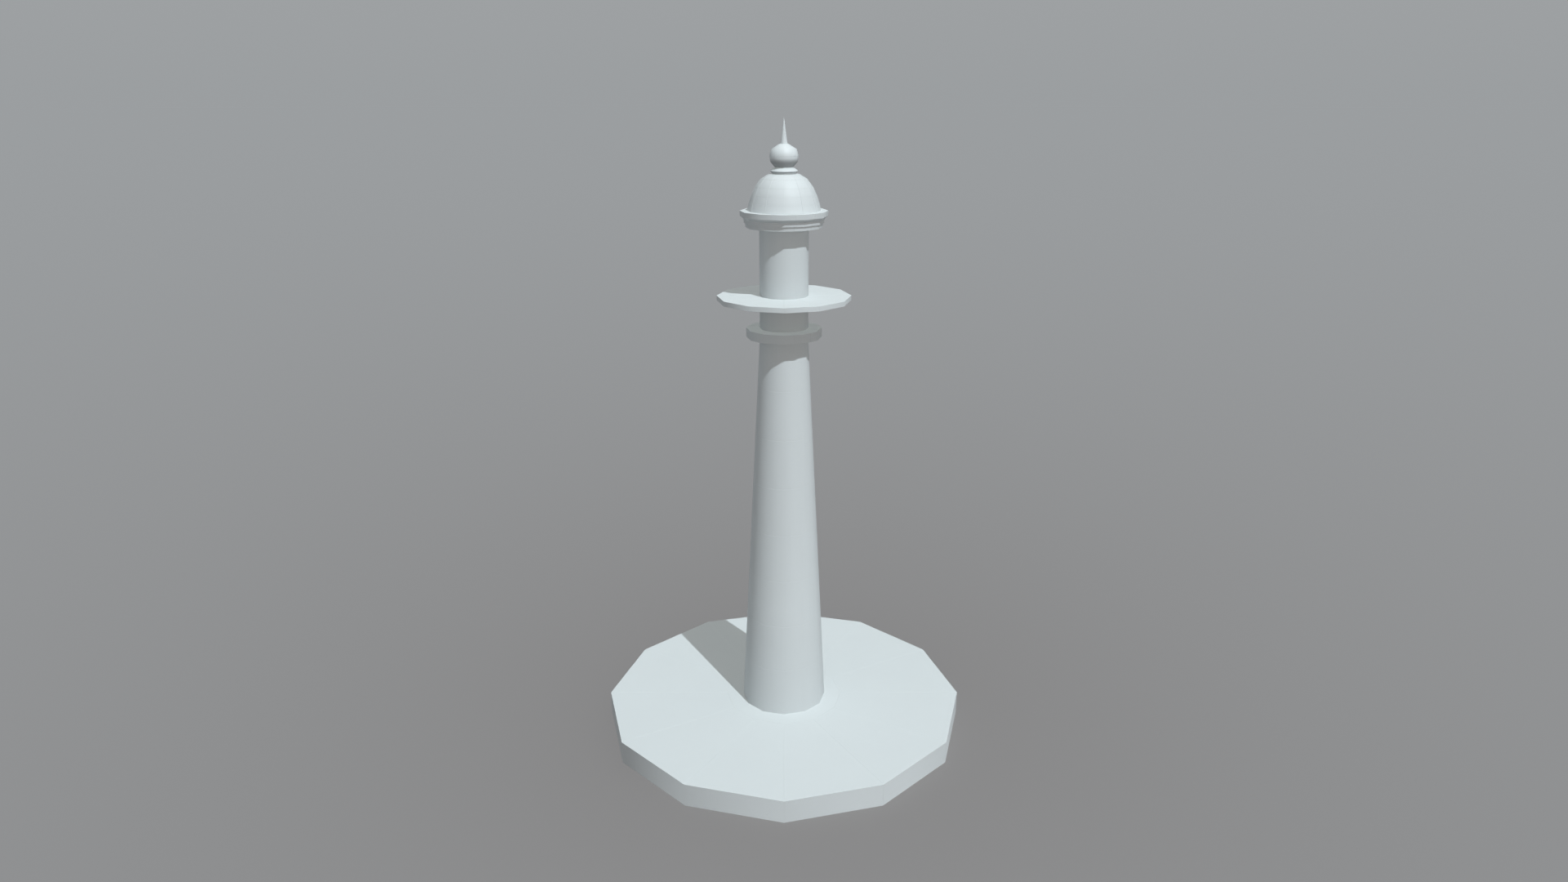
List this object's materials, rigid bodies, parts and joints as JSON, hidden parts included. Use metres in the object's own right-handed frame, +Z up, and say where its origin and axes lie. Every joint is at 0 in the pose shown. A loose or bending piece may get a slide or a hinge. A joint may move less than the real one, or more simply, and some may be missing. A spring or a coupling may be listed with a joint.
{
  "type": "lighthouse",
  "caption": "Slim hollow lighthouse: tapered faceted shaft, belt course, gallery deck, plain lantern drum, cornice, dome and spired ball finial on a broad low platform.",
  "frame": {"origin": "centre of the platform's underside, at ground level on the tower's axis", "axes": "+Z up the tower's axis, and an arris of the faceted plan on each of +X, -X, +Y and -Y; the picture is taken from the -Y side"},
  "size_m": [16, 16, 26.4595],
  "materials": {
    "platform_concrete": "matt pale grey cast concrete with a light float finish",
    "wall_render": "matt pale cool grey painted render",
    "gallery_stone": "matt pale grey dressed stone",
    "cornice_stone": "matt pale cool grey painted stone",
    "dome_paint": "matt pale grey paint on sheet metal",
    "finial_paint": "matt pale grey paint on cast and spun metal"
  },
  "bodies": {
    "root": {"platform_core": "platform_concrete", "platform_bay_01": "platform_concrete", "platform_bay_02": "platform_concrete", "platform_bay_03": "platform_concrete", "platform_bay_04": "platform_concrete", "platform_bay_05": "platform_concrete", "platform_bay_06": "platform_concrete", "platform_bay_07": "platform_concrete", "platform_bay_08": "platform_concrete", "platform_bay_09": "platform_concrete", "platform_bay_10": "platform_concrete", "platform_bay_11": "platform_concrete", "platform_bay_12": "platform_concrete", "shaft_lift_01": "wall_render", "shaft_lift_02": "wall_render", "shaft_lift_03": "wall_render", "shaft_lift_04": "wall_render", "shaft_lift_05": "wall_render", "shaft_lift_06": "wall_render", "shaft_lift_07": "wall_render", "shaft_lift_08": "wall_render", "belt_course": "cornice_stone", "neck_wall": "wall_render", "gallery_bay_01": "gallery_stone", "gallery_bay_02": "gallery_stone", "gallery_bay_03": "gallery_stone", "gallery_bay_04": "gallery_stone", "gallery_bay_05": "gallery_stone", "gallery_bay_06": "gallery_stone", "gallery_bay_07": "gallery_stone", "gallery_bay_08": "gallery_stone", "gallery_bay_09": "gallery_stone", "gallery_bay_10": "gallery_stone", "gallery_bay_11": "gallery_stone", "gallery_bay_12": "gallery_stone", "lantern_wall": "wall_render", "cornice_bed": "cornice_stone", "cornice_band": "cornice_stone", "cornice_lip": "cornice_stone", "dome": "dome_paint", "dome_neck": "finial_paint", "collar": "finial_paint", "ball": "finial_paint", "spire": "finial_paint"}
  },
  "joints": []
}
